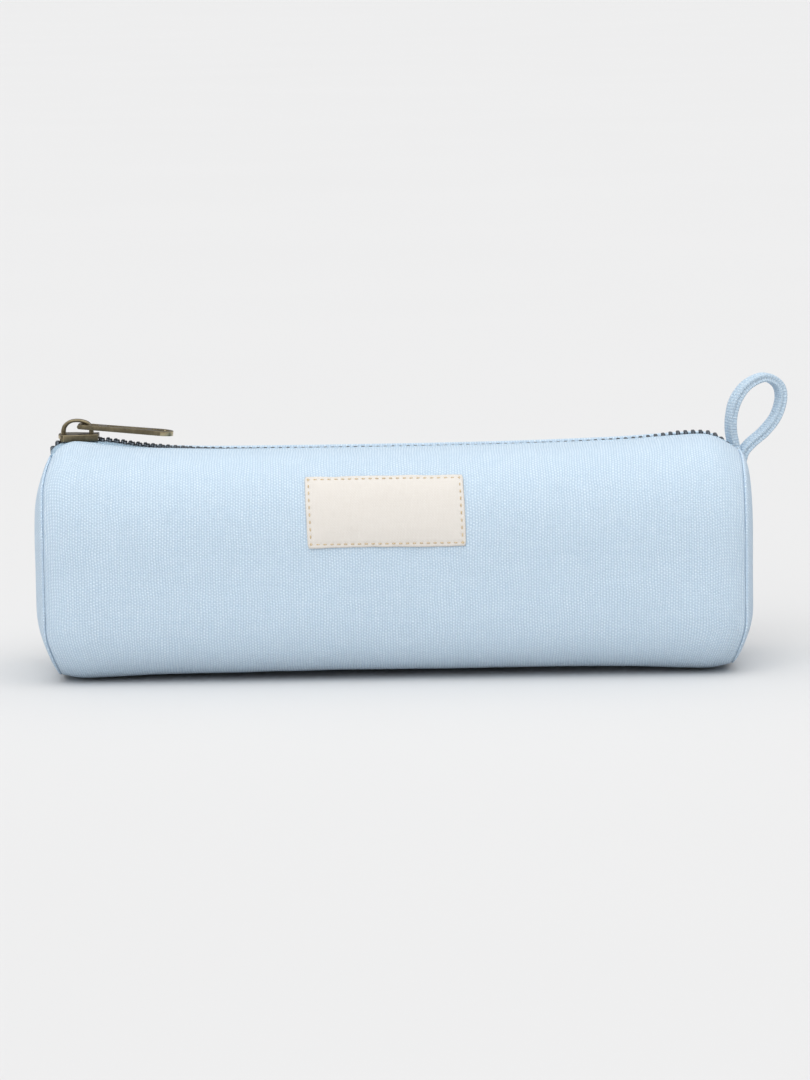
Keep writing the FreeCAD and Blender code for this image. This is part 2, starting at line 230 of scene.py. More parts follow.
def foamMaterial():
    # open-cell polyurethane foam: dull, with pits about half a millimetre wide
    material, tree, shader = newMaterial("polyurethane foam, sliced")
    place = addNode(tree, "ShaderNodeTexCoord").outputs["Object"]
    cells = addNode(tree, "ShaderNodeTexVoronoi", None, {"Vector": place, "Scale": 2000.0})
    # painted shade: the colour darkens towards the middle of each pit, where the bump sinks
    colour = mixColours(tree, cells.outputs["Distance"], hexColour("#d9d8d2"), hexColour("#f1f0ea"))
    setUp(tree, shader, colour, 0.9, bumpFrom(tree, cells.outputs["Distance"], 0.5, 0.2))
    return material


def threadMaterial(name, dark, light):
    # spun thread: two plies twisted together, drawn as slanted bands 0.5 mm apart, with painted shade in the grooves
    # between them
    material, tree, shader = newMaterial(name)
    place = addNode(tree, "ShaderNodeTexCoord").outputs["Object"]
    turned = addNode(tree, "ShaderNodeMapping", None, {"Vector": place, "Rotation": (0.0, 0.0, 0.7)})
    twist = addNode(tree, "ShaderNodeTexWave", {"bands_direction": "X"},
                    {"Vector": turned.outputs[0], "Scale": 600.0, "Distortion": 1.5})
    # painted shade: the colour darkens where the bump sinks between the plies
    colour = mixColours(tree, twist.outputs["Fac"], hexColour(dark), hexColour(light))
    setUp(tree, shader, colour, 0.75, bumpFrom(tree, twist.outputs["Fac"], 0.6, 0.1))
    shader.inputs["Sheen Weight"].default_value = 0.1
    return material


blueThread = threadMaterial("polyester thread, spun, blue", "#a9c3d6", "#c6dcea")
tanThread = threadMaterial("cotton thread, spun, tan", "#bda682", "#d5c3a3")


def metalMaterial(name, look):
    # plated casting, blackened and then tumbled: dark in the hollows, and bright on the edges that
    # the piece's own attribute marks, as real wear and as a painted highlight
    material, tree, shader = newMaterial(name)
    place = addNode(tree, "ShaderNodeTexCoord").outputs["Object"]
    patches = addNode(tree, "ShaderNodeTexNoise", None,
                      {"Vector": place, "Scale": look["patchScale"], "Detail": 6.0, "Roughness": 0.62})
    # marked edges: real wear, and a painted highlight along the edges
    edges = addNode(tree, "ShaderNodeAttribute", {"attribute_name": "edgeWearAndHighlight"}).outputs["Fac"]
    edgeWearAndHighlightShare = math2(tree, "MULTIPLY", edges, look["edgeWearAndHighlight"])
    wearWithHighlight = math2(tree, "MULTIPLY_ADD", patches.outputs[0], look["patchShare"])
    tree.links.new(edgeWearAndHighlightShare, wearWithHighlight.node.inputs[2])
    wearWithHighlight.node.use_clamp = True
    colour = mixColours(tree, wearWithHighlight, hexColour(look["dark"]), hexColour(look["bright"]))
    rough = addNode(tree, "ShaderNodeMapRange", None,
                    {"Value": wearWithHighlight, "To Min": look["roughDark"], "To Max": look["roughBright"]})
    grit = addNode(tree, "ShaderNodeTexNoise", None, {"Vector": place, "Scale": 2600.0, "Detail": 3.0})
    setUp(tree, shader, colour, rough.outputs[0], bumpFrom(tree, grit.outputs[0], 0.25, 0.06))
    shader.inputs["Metallic"].default_value = 1.0
    return material


antiqueBrass = metalMaterial("zinc casting, antique brass plated", {
    "patchScale": 420.0, "patchShare": 0.6, "edgeWearAndHighlight": 0.8, "dark": "#2b2720", "bright": "#b3a584",
    "roughDark": 0.46, "roughBright": 0.28})
gunmetalTeeth = metalMaterial("brass teeth, gunmetal plated", {
    "patchScale": 900.0, "patchShare": 0.6, "edgeWearAndHighlight": 0.5, "dark": "#15191d", "bright": "#8f9aa5",
    "roughDark": 0.42, "roughBright": 0.25})
print("materials made")


# ---- the case's own soft shape
wrapLow, wrapHigh = boxMm("outer_panel")
caseShape = {
    "seam": wrapHigh.x + 0.8, "halfDepth": wrapHigh.y - 0.3, "mouth": 6.5, "groove": 0.6, "ripple": 0.28,
    # how square the section is above and below its middle
    "roundTop": 3.1, "roundBottom": 4.0,
    # how far each end stands out past its seam, and how square its dome is
    "bulge": {-1: 3.8, 1: 3.0}, "bulgePower": {-1: 5.5, 1: 10.0},
    # the top falls a little towards the back
    "lean": 0.045,
    # x and height of the zip's edge, then of the underside, along the case
    "top": (
        (-106, 66.8), (-103.5, 70.0), (-100, 71.6), (-96, 71.6), (-88, 70.6), (-80, 69.8), (-67, 69.2), (-50, 68.8),
        (0, 68.7), (37, 69.0), (69, 69.8), (88, 70.9), (95, 71.0), (99, 69.9), (102, 68.2), (106, 65.6),
    ),
    "bottom": (
        (-106, 1.2), (-99, 0.0), (-90, 0.1), (-70, 0.9), (0, 1.3), (70, 1.1), (90, 0.5), (99, 0.4), (106, 1.6),
    ),
    # x and how much the half depth changes there
    "depth": (
        (-106, -3.2), (-101, -1.3), (-94, -0.4), (-60, 0.0), (60, 0.0), (94, -0.4), (101, -1.3), (106, -3.2),
    ),
    # how far the seam is drawn in at the top and the bottom of each end
    "pullTop": {-1: 2.4, 1: 0.2}, "pullBottom": 3.8,
}


# the line of stitches that holds the zip in
topstitch = {"pitch": 2.6, "inset": 1.5, "lift": -0.16, "length": 2.1, "width": 0.5, "height": 0.34}


def through(points, x):
    # smooth curve through given points, flat beyond the ends
    xs = [p[0] for p in points]
    ys = [p[1] for p in points]
    x = min(max(x, xs[0]), xs[-1])
    i = min(max(np.searchsorted(xs, x) - 1, 0), len(xs) - 2)
    slopes = []
    for k in (i, i + 1):
        a, b = max(k - 1, 0), min(k + 1, len(xs) - 1)
        slopes.append((ys[b] - ys[a]) / (xs[b] - xs[a]))
    w = xs[i + 1] - xs[i]
    t = (x - xs[i]) / w
    return ((1 + 2 * t) * (1 - t) ** 2 * ys[i] + t * (1 - t) ** 2 * w * slopes[0]
            + t * t * (3 - 2 * t) * ys[i + 1] + t * t * (t - 1) * w * slopes[1])


def smooth(a, b, value):
    t = min(max((value - a) / (b - a), 0.0), 1.0)
    return t * t * (3 - 2 * t)


def outline(x, inset, samples=360):
    # closed rounded-square section at x, starting at the middle of the top and going round by the front
    s = caseShape
    top, bottom = through(s["top"], x), through(s["bottom"], x)
    a = s["halfDepth"] + through(s["depth"], x) - inset
    b = (top - bottom) / 2 - inset
    middle = (top + bottom) / 2
    angle = np.linspace(0, 2 * math.pi, samples + 1)
    sine, cosine = np.sin(angle), np.cos(angle)
    power = 2 / np.where(cosine > 0, s["roundTop"], s["roundBottom"])
    y = -a * np.sign(sine) * np.abs(sine) ** power
    rise = np.sign(cosine) * np.abs(cosine) ** power
    z = middle + b * rise - s["lean"] * (y + s["mouth"]) * np.clip(rise, 0, 1) ** 2
    return np.stack([y, z], 1)


def skinRow(x, inset, mouth, alongs=None, shares=None):
    # places and outward directions round the section at x, measured from the front edge of the mouth:
    # alongs in millimetres, or shares of the way round. Gives (places, directions, alongs, whole run)
    section = outline(x, inset)
    steps = np.linalg.norm(np.diff(section, axis=0), axis=1)
    length = np.concatenate([[0], np.cumsum(steps)])
    quarter = len(section) // 8
    edge = np.interp(mouth, -section[:quarter, 0], length[:quarter])
    run = length[-1] - 2 * edge
    if alongs is None:
        alongs = np.asarray(shares) * run
    at = edge + np.asarray(alongs)
    spots = []
    for shift in (0, -0.5, 0.5):
        spots.append(np.stack([np.interp(at + shift, length, section[:, k]) for k in (0, 1)], 1))
    travel = spots[2] - spots[1]
    travel /= np.linalg.norm(travel, axis=1)[:, None]
    places = [Vector((drawnIn(x, z), y, z)) for y, z in spots[0]]
    directions = [Vector((0, dz, -dy)) for dy, dz in travel]
    return places, directions, alongs, run


def drawnIn(x, z):
    # the seams pull the corners of each end inwards
    s = caseShape
    side = 1 if x > 0 else -1
    pull = s["pullTop"][side] * smooth(59, 73, z) + s["pullBottom"] * smooth(17, 0, z)
    return x - side * pull * smooth(72, s["seam"], abs(x))


def rippled(point, normal, amount):
    # slow unevenness of a padded cloth
    lift = noise.noise(point / 34.0) + 0.45 * noise.noise(point / 13.0 + Vector((7, 3, 1)))
    return point + normal * lift * amount


def skinPoint(x, along, side, lift=0.0):
    # a point of the outer canvas, along millimetres from the mouth's front (-1) or rear (1) edge
    start = caseShape["mouth"]
    _, _, _, run = skinRow(x, 0.0, start, [0.0])
    (spot,), (direction,), _, _ = skinRow(x, 0.0, start, [along if side < 0 else run - along])
    return rippled(spot, direction, caseShape["ripple"] * smooth(2, 18, along)) + direction * lift, direction


def meshObject(name, vertices, faces, uvs, material):
    # vertices and UVs in millimetres
    mesh = bpy.data.meshes.new(name)
    mesh.from_pydata([Vector(v) * toMetres for v in vertices], [], faces)
    if uvs is not None:
        layer = mesh.uv_layers.new(name="cloth")
        for loop in mesh.loops:
            layer.data[loop.index].uv = uvs[loop.vertex_index]
    mesh.polygons.foreach_set("use_smooth", [True] * len(mesh.polygons))
    mesh.materials.append(material)
    piece = bpy.data.objects.new(name, mesh)
    scene.collection.objects.link(piece)
    return piece


def facesOut(mesh):
    form = bmesh.new()
    form.from_mesh(mesh)
    bmesh.ops.recalc_face_normals(form, faces=form.faces[:])
    form.to_mesh(mesh)
    form.free()


def gridFaces(rows, columns, closed=False, flip=False):
    faces = []
    for i in range(rows - 1):
        for j in range(columns if closed else columns - 1):
            k = (j + 1) % columns
            face = (i * columns + j, (i + 1) * columns + j, (i + 1) * columns + k, i * columns + k)
            faces.append(face[::-1] if flip else face)
    return faces


def thicken(piece, thickness, offset=-1.0):
    layer = piece.modifiers.new("thickness", "SOLIDIFY")
    layer.thickness = thickness * toMetres
    layer.offset = offset
    layer.use_even_offset = False
    return bake(piece)


def bake(piece):
    # modifiers applied, so that the piece is one plain mesh
    graph = bpy.context.evaluated_depsgraph_get()
    mesh = bpy.data.meshes.new_from_object(piece.evaluated_get(graph))
    piece.modifiers.clear()
    piece.data = mesh
    return piece


def place(piece, body, slot, *nodes):
    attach(piece, body)
    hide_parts(*nodes)
    return piece


def wrapStations(reach, roll, count):
    # places along the case; the last few roll the cloth into the seam. Gives (x, extra inset)
    stations = [(x, 0.0) for x in np.linspace(-(reach - roll), reach - roll, count)]
    if roll > 0:
        turn = [(math.sin(t) * roll, (1 - math.cos(t)) * roll) for t in np.linspace(0, math.pi / 2, 6)[1:]]
        ends = [(reach - roll + dx, dip) for dx, dip in turn] + [(reach, roll + 1.0)]
        stations = [(-x, dip) for x, dip in reversed(ends)] + stations + ends
    return stations


def wrapLayer(name, layer, material):
    # front, underside and back of one layer of the case, open along the zip
    shares = np.linspace(0, 1, layer["around"])
    if layer["fold"]:  # finer near the stitched edges
        shares = 0.5 - 0.5 * np.sign(0.5 - shares) * np.abs(1 - 2 * shares) ** 0.72
    vertices, uvs, columns = [], [], 0
    for x, dip in wrapStations(layer["reach"], layer["roll"], layer["along"]):
        places, directions, alongs, run = skinRow(x, layer["inset"] + dip, layer["mouth"], shares=shares)
        row = []
        for spot, direction, v in zip(places, directions, alongs):
            along = min(v, run - v)
            point = rippled(spot, direction, layer["ripple"] * smooth(2, 18, along))
            if layer["fold"]:  # the row of stitches draws the cloth down between its holes
                stitch = math.exp(-((along - 1.5) / 0.75) ** 2)
                point -= direction * stitch * (0.28 + 0.12 * math.cos(2 * math.pi * x / topstitch["pitch"]))
            point.z = max(point.z, 0.02)
            row.append((point, v))
        if layer["fold"]:
            for last in (False, True):
                tip, v = row[-1] if last else row[0]
                side = 1 if last else -1
                hem = [(Vector((tip.x, side * (layer["mouth"] + back), tip.z - drop)), v + side * (back + drop))
                       for back, drop in ((-0.45, 0.25), (-0.62, 0.8), (-0.4, 1.35), (0.4, 1.6), (5.0, 1.7))]
                row = row + hem if last else hem[::-1] + row
        columns = len(row)
        vertices += [point for point, _ in row]
        uvs += [(x, v) for _, v in row]
    rows = len(vertices) // columns
    piece = meshObject(name, vertices, gridFaces(rows, columns, flip=True), uvs, material)
    return thicken(piece, layer["thickness"])


def endLayer(name, side, layer, material):
    # domed end of one layer; its rim rolls into the seam. Rings run from the rim to the middle
    s = caseShape
    vertices, uvs = [], []
    roll = layer["roll"]
    # each ring is (share of the way out, extra inset, how far it stands out from the seam)
    rings = [(1.0, (1 - math.cos(t)) * roll, (1 - math.sin(t)) * roll) for t in np.linspace(math.pi / 2, 0, 6)]
    rings = [(1.0, roll + 1.0, 0.0)] + rings if roll > 0 else [(1.0, 0.0, 0.0)]
    rings += [(t, 0.0, roll) for t in np.linspace(1.0, 0.0, layer["rings"])[1:-1]]
    seamX = side * (s["seam"] - layer["back"])
    for t, dip, out in rings:
        section = outline(side * s["seam"], layer["inset"] + dip, layer["around"])[:-1]
        middle = Vector((0, 0, section[:, 1].mean()))
        for y, z in section:
            flat = middle.lerp(Vector((0, y, z)), t)
            rimX = drawnIn(side * s["seam"], z) - side * layer["back"]
            crown = (s["bulge"][side] - roll) * (1 - t ** s["bulgePower"][side])
            x = rimX * t ** 2 + seamX * (1 - t ** 2) + side * (out + crown)
            point = rippled(Vector((x, flat.y, flat.z)), Vector((side, 0, 0)), layer["ripple"] * (1 - t ** 4))
            point.z = max(point.z, 0.02)
            vertices.append(point)
            uvs.append((flat.y, flat.z))
    columns = layer["around"]
    faces = gridFaces(len(rings), columns, True, side > 0)
    centre = len(vertices)
    # the pole is the middle of the innermost ring
    vertices.append(sum(vertices[-columns:], Vector()) / columns)
    uvs.append((vertices[-1].y, vertices[-1].z))
    last = (len(rings) - 1) * columns
    for j in range(columns):
        face = (last + j, centre, last + (j + 1) % columns)
        faces.append(face[::-1] if side > 0 else face)
    piece = meshObject(name, vertices, faces, uvs, material)
    return thicken(piece, layer["thickness"])


canvasLayer = {
    "inset": 0.0, "thickness": 0.8, "reach": caseShape["seam"], "roll": caseShape["groove"],
    "mouth": caseShape["mouth"], "fold": True, "along": 300, "around": 110, "ripple": caseShape["ripple"],
}
canvasEnd = {
    "inset": 0.0, "thickness": 0.8, "roll": caseShape["groove"], "back": 0.0, "rings": 34, "around": 160,
    "ripple": 0.3,
}
canvasWrap = wrapLayer("canvas_wrap", canvasLayer, wovenCanvas)
place(canvasWrap, "root", "canvas", "outer_panel")
endNames = {-1: "left", 1: "right"}
for side, end in endNames.items():
    cap = endLayer(end + "_canvas_end", side, canvasEnd, wovenCanvas)
    place(cap, "root", "canvas", end + "_end_panel")
print("canvas made")

foamLayer = {
    **canvasLayer, "inset": 1.5, "thickness": 1.7, "roll": 0.0, "reach": caseShape["seam"] - 3.4, "mouth": 12.6,
    "fold": False, "along": 60, "around": 60, "ripple": 0.0,
}
liningLayer = {**foamLayer, "inset": 3.4, "thickness": 0.3, "reach": caseShape["seam"] - 4.4, "mouth": 7.2}
innerGap = 0.4    # millimetres between an inner layer's tube and its end
for name, layer, material, slot, node in (
        ("body_foam", foamLayer, foamMaterial(), "interlining", "interlining"),
        ("body_inner_cloth", liningLayer, liningCloth, "lining", "lining")):
    tube = wrapLayer(name, layer, material)
    place(tube, "root", slot, "body_" + node)
    for side, end in endNames.items():
        endForm = {
            **canvasEnd, "inset": layer["inset"] + innerGap, "thickness": layer["thickness"], "roll": 0.0,
            "back": caseShape["seam"] - layer["reach"] - innerGap, "rings": 12, "around": 60, "ripple": 0.0,
        }
        cap = endLayer(end + name[4:] + "_end", side, endForm, material)
        place(cap, "root", slot, end + "_end_" + node)
print("inner layers made")

# ---- zip
zipLook = {
    "reach": 104.3, "pitch": 2.29, "tooth": (1.15, 3.0, 2.4), "bevel": 0.22, "closed": 1.1,
    # how far the slider's post holds each row out, and over what run past the nose the rows meet
    "spread": 1.3, "spreadRun": (4.7, 9.0),
    # places across the tape, from its beaded edge outwards
    "tapeRows": (1.3, 1.6, 2.2, 3.0, 4.0, 5.0, 6.2, 8.0, 12.0), "tapeThickness": 0.6, "tapeStations": 240,
    "tapeEndGap": 1.2, "underFold": 2.05,
    # x and height of the chain's middle; it stands proud of the cloth's folded edge near the slider
    "line": (
        (-106, 65.0), (-104, 68.4), (-101.5, 70.4), (-98, 70.8), (-88, 70.7), (-78, 69.2), (-67, 68.0), (-50, 67.0),
        (0, 66.7), (45, 67.1), (75, 68.4), (88, 70.0), (96, 69.9), (100, 68.2), (106, 62.5),
    ),
}
sliderLow, sliderHigh = boxMm("slider_body")


def chainHeight(x):
    return through(zipLook["line"], x)


def rowSpread(x):
    # the slider's post holds the rows apart at its nose
    start, end = zipLook["spreadRun"]
    return zipLook["spread"] * (1 - smooth(sliderLow.x + start, sliderLow.x + end, x))


def makeTape(side):
    # runs under the folded edge; a bead along the inner edge carries the teeth
    z = zipLook
    vertices, uvs = [], []
    reach = caseShape["seam"] - z["tapeEndGap"]
    for x in np.linspace(-reach, reach, z["tapeStations"]):
        chain, under = chainHeight(x), through(caseShape["top"], x) - z["underFold"]
        spread = rowSpread(x)
        for y in z["tapeRows"]:
            height = chain + (under - chain) * smooth(2.6, 6.2, y)
            slack = 0.16 * noise.noise(Vector((x / 7.0, side * 3.0, y / 9.0)))
            vertices.append((x, side * (y + spread * (1 - smooth(4, 9, y))), height + slack * smooth(2, 4, y)))
            uvs.append((x, y))
    faces = gridFaces(z["tapeStations"], len(z["tapeRows"]), flip=side < 0)
    tape = meshObject("zip_tape_" + sideNames[side], vertices, faces, uvs, zipTapeCloth)
    return thicken(tape, z["tapeThickness"], 0.0)


sideNames = {-1: "front", 1: "rear"}
for side in sideNames:
    tape = makeTape(side)
    place(tape, "root", "zip_tape", "zipper_tape_" + sideNames[side])
print("tapes made")


def roundedBlock(name, size, bevel, material):
    # block with bevelled edges, 26 faces
    form = bmesh.new()
    bmesh.ops.create_cube(form, size=1.0)
    for vertex in form.verts:
        vertex.co = Vector([vertex.co[k] * size[k] for k in range(3)]) * toMetres
    bmesh.ops.bevel(form, geom=form.edges[:], offset=bevel * toMetres, segments=1, affect="EDGES")
    mesh = bpy.data.meshes.new(name)
    form.to_mesh(mesh)
    form.free()
    mesh.polygons.foreach_set("use_smooth", [True] * len(mesh.polygons))
    mesh.materials.append(material)
    return bpy.data.objects.new(name, mesh)


def stitchPiece(name, look, material):
    # one stitch, long along x and sinking into the cloth at both ends
    vertices, sides, rings = [], 8, 7
    for i in range(rings):
        t = -1 + 2 * i / (rings - 1)
        radius = max(1 - abs(t) ** 2.6, 0.02) ** 0.5
        sag = -0.55 * look["height"] * abs(t) ** 3
        for j in range(sides):
            angle = 2 * math.pi * j / sides
            vertices.append((t * look["length"] / 2, math.cos(angle) * radius * look["width"] / 2,
                             sag + math.sin(angle) * radius * look["height"] / 2))
    faces = gridFaces(rings, sides, True, True)
    faces += [tuple(range(sides)), tuple(range((rings - 1) * sides, rings * sides))[::-1]]
    mesh = bpy.data.meshes.new(name)
    mesh.from_pydata([Vector(v) * toMetres for v in vertices], [], faces)
    facesOut(mesh)
    mesh.polygons.foreach_set("use_smooth", [True] * len(mesh.polygons))
    mesh.materials.append(material)
    return bpy.data.objects.new(name, mesh)


def alongPathTree():
    # sets a piece along each path every Spacing metres, its z on the path's "up", tilted a little
    # at random
    tree = bpy.data.node_groups.new("piece along path", "GeometryNodeTree")
    sockets = {"Geometry": "Geometry", "Spacing": "Float", "Piece": "Object", "Material": "Material", "Tilt": "Float",
               "Seed": "Int"}
    for name, kind in sockets.items():
        tree.interface.new_socket(name, in_out="INPUT", socket_type="NodeSocket" + kind)
    tree.interface.new_socket("Geometry", in_out="OUTPUT", socket_type="NodeSocketGeometry")
    given = addNode(tree, "NodeGroupInput").outputs
    curve = addNode(tree, "GeometryNodeMeshToCurve", None, {"Mesh": given["Geometry"]})
    spots = addNode(tree, "GeometryNodeCurveToPoints", {"mode": "LENGTH"},
                    {"Curve": curve.outputs[0], "Length": given["Spacing"]})
    up = addNode(tree, "GeometryNodeInputNamedAttribute", {"data_type": "FLOAT_VECTOR"}, {"Name": "up"})
    aim = addNode(tree, "FunctionNodeAxesToRotation", {"primary_axis": "Z", "secondary_axis": "X"},
                  {0: up.outputs[0], 1: spots.outputs["Tangent"]})
    most = addNode(tree, "ShaderNodeVectorMath", {"operation": "SCALE"}, {0: (1, 1, 1), "Scale": given["Tilt"]})
    least = addNode(tree, "ShaderNodeVectorMath", {"operation": "SCALE"}, {0: most.outputs[0], "Scale": -1.0})
    chance = addNode(tree, "FunctionNodeRandomValue", {"data_type": "FLOAT_VECTOR"},
                     {0: least.outputs[0], 1: most.outputs[0], "Seed": given["Seed"]})
    turned = addNode(tree, "FunctionNodeRotateRotation", {"rotation_space": "LOCAL"},
                     {0: aim.outputs[0], 1: chance.outputs[0]})
    piece = addNode(tree, "GeometryNodeObjectInfo", None, {"Object": given["Piece"]})
    placed = {"Points": spots.outputs[0], "Instance": piece.outputs["Geometry"], "Rotation": turned.outputs[0]}
    spread = addNode(tree, "GeometryNodeInstanceOnPoints", None, placed)
    solid = addNode(tree, "GeometryNodeRealizeInstances", None, {0: spread.outputs[0]})
    painted = addNode(tree, "GeometryNodeSetMaterial", None,
                      {"Geometry": solid.outputs[0], "Material": given["Material"]})
    addNode(tree, "NodeGroupOutput", None, {"Geometry": painted.outputs[0]})
    return tree


pathTree = alongPathTree()


def setAlong(name, paths, spacing, piece, material, tilt, seed):
    # paths are lists of (point, up) in millimetres
    vertices = []
    edges = []
    ups = []
    for path in paths:
        start = len(vertices)
        vertices += [Vector(point) * toMetres for point, _ in path]
        ups += [Vector(up) for _, up in path]
        edges += [(k, k + 1) for k in range(start, start + len(path) - 1)]
    mesh = bpy.data.meshes.new(name)
    mesh.from_pydata(vertices, edges, [])
    attribute = mesh.attributes.new("up", "FLOAT_VECTOR", "POINT")
    attribute.data.foreach_set("vector", [c for up in ups for c in up])
    row = bpy.data.objects.new(name, mesh)
    scene.collection.objects.link(row)
    scene.collection.objects.link(piece)
    layer = row.modifiers.new("along", "NODES")
    layer.node_group = pathTree
    values = {"Spacing": spacing * toMetres, "Piece": piece, "Material": material, "Tilt": tilt, "Seed": seed}
    for item in pathTree.interface.items_tree:
        if item.in_out == "INPUT" and item.name in values:
            layer[item.identifier] = values[item.name]
    bake(row)
    scene.collection.objects.unlink(piece)
    return row


toothPiece = roundedBlock("tooth", zipLook["tooth"], zipLook["bevel"], gunmetalTeeth)
for side in sideNames:
    z = zipLook
    # the rear row is half a pitch on
    start = -z["reach"] + 0.5 + (0.0 if side < 0 else z["pitch"] / 2)
    path = []
    for x in np.arange(start, z["reach"], 0.6):
        path.append(((x, side * (z["closed"] + rowSpread(x)), chainHeight(x)), (0, 0, 1)))
    teeth = setAlong("zip_teeth_" + sideNames[side], [path], z["pitch"], toothPiece, gunmetalTeeth, 0.035, 3 + side)
    place(teeth, "root", "zip_teeth", "zipper_teeth_" + sideNames[side])

stitchBlue = stitchPiece("stitch", topstitch, blueThread)
for side in sideNames:
    path = [skinPoint(x, topstitch["inset"], side, topstitch["lift"]) for x in np.arange(-103.0, 103.0, 1.3)]
    seam = setAlong("zip_topstitch_" + sideNames[side], [path], topstitch["pitch"], stitchBlue, blueThread, 0.05,
                    11 + side)
    place(seam, "root", "thread", "topstitch_" + sideNames[side])
print("teeth and topstitches made")


# ---- label
labelLow, labelHigh = boxMm("label")
labelLook = {
    "lift": 0.75, "thickness": 0.55, "points": (118, 54),
    "stitchInset": 1.1, "pitch": 2.05, "length": 1.25, "width": 0.42, "height": 0.3,
}


def alongAtHeight(x, height):
    # run from the mouth's front edge down to a height on the front face
    alongs = np.linspace(10, 75, 66)
    places, _, _, _ = skinRow(x, 0.0, caseShape["mouth"], alongs)
    return float(np.interp(-height, [-p.z for p in places], alongs))


def labelPoint(u, v, lift):
    # u along, v down from the label's upper left corner, both in millimetres
    # it is sewn on a little out of square
    size = labelHigh - labelLow
    x = labelLow.x + 0.9 + u * (size.x - 1.5) / size.x + 0.035 * (v - size.z / 2)
    top = alongAtHeight(x, labelHigh.z)
    return skinPoint(x, top + v, -1, lift)


def makeLabel():
    look = labelLook
    size = labelHigh - labelLow
    us, vs = np.linspace(0, size.x, look["points"][0]), np.linspace(0, size.z, look["points"][1])
    vertices, uvs = [], []
    for u in us:
        for v in vs:
            # corners a little rounded, edges a little uneven, cloth drawn in at each stitch
            edge = min(u, size.x - u, v, size.z - v)
            wander = 0.22 * noise.noise(Vector((u / 6.0, v / 6.0, 4.0))) * (1 - smooth(0, 3, edge))
            near = math.exp(-((edge - look["stitchInset"]) / 0.55) ** 2)
            along = u if min(v, size.z - v) < min(u, size.x - u) else v
            dip = near * (0.2 + 0.1 * math.cos(2 * math.pi * along / look["pitch"]))
            fall = 0.3 * (1 - smooth(0, 0.5, edge))
            pillow = 0.25 * smooth(1, 6, edge) + 0.12 * noise.noise(Vector((u / 9.0, v / 9.0, 1.0)))
            nearTop, nearFoot, nearLeft, nearRight = [1 - smooth(0, 1.2, gap) for gap in (v, size.z - v, u, size.x - u)]
            du = wander + (0.35 * nearTop + 0.35 * nearFoot) * (nearLeft - nearRight)
            point, _ = labelPoint(u + du, v + wander, look["lift"] - dip - fall + pillow)
            vertices.append(point)
            uvs.append((u, v))
    patch = meshObject("label_patch", vertices, gridFaces(len(us), len(vs), flip=True), uvs, labelCloth)
    return thicken(patch, look["thickness"])


patch = makeLabel()
place(patch, "root", "label_cloth", "label")
inner = labelLook["stitchInset"]
wide, tall = labelHigh.x - labelLow.x - inner, labelHigh.z - labelLow.z - inner
corners = ((inner, inner), (wide, inner), (wide, tall), (inner, tall))
paths = []
for k in range(4):
    a, b = corners[k], corners[(k + 1) % 4]
    steps = int(math.dist(a, b) / 1.1)
    path = []
    for i in range(steps + 1):
        u, v = [a[axis] + (b[axis] - a[axis]) * i / steps for axis in (0, 1)]
        path.append(labelPoint(u, v, labelLook["lift"] - 0.12))
    paths.append(path)
stitchTan = stitchPiece("label_stitch", labelLook, tanThread)
labelSeam = setAlong("label_stitches", paths, labelLook["pitch"], stitchTan, tanThread, 0.05, 21)
place(labelSeam, "root", "label_thread", "label_stitching")
print("label made")


# ---- hanging loop
loopLook = {
    "root": (106.1, 8.5, 64.0), "yaw": 18.0, "width": 5.4, "thickness": 2.8,
    # centre line as (outward, up) from the root
    "line": (
        (-1.6, -2.5), (-1.4, 0.6), (-2.4, 6.5), (-2.0, 12.0), (-0.2, 16.6), (3.4, 20.4), (8.7, 22.2), (13.0, 20.0),
        (14.2, 15.8), (12.4, 10.2), (8.4, 5.6), (4.2, 2.4), (1.6, -0.3), (0.6, -3.0),
    ),
    "stations": 90, "around": 28,
}


def alongLine(line, count):
    # evenly shared values of a smooth curve through a line's points, whatever each point holds
    keys = np.linspace(0, 1, len(line))
    tracks = [list(zip(keys, track)) for track in zip(*line)]
    return [[through(track, t) for track in tracks] for t in np.linspace(0, 1, count)]


def loopFrames(count):
    # smooth curve through the centre line, with its direction
    spots = alongLine(loopLook["line"], count)
    yaw = math.radians(loopLook["yaw"])
    out = Vector((math.cos(yaw), math.sin(yaw), 0))
    across = Vector((-math.sin(yaw), math.cos(yaw), 0))
    root = Vector(loopLook["root"])
    frames = []
    for i, (o, u) in enumerate(spots):
        a, b = spots[max(i - 1, 0)], spots[min(i + 1, count - 1)]
        travel = Vector((b[0] - a[0], b[1] - a[1])).normalized()
        outward = out * -travel.y + Vector((0, 0, 1)) * travel.x
        frames.append((root + out * o + Vector((0, 0, u)), outward, across))
    return frames


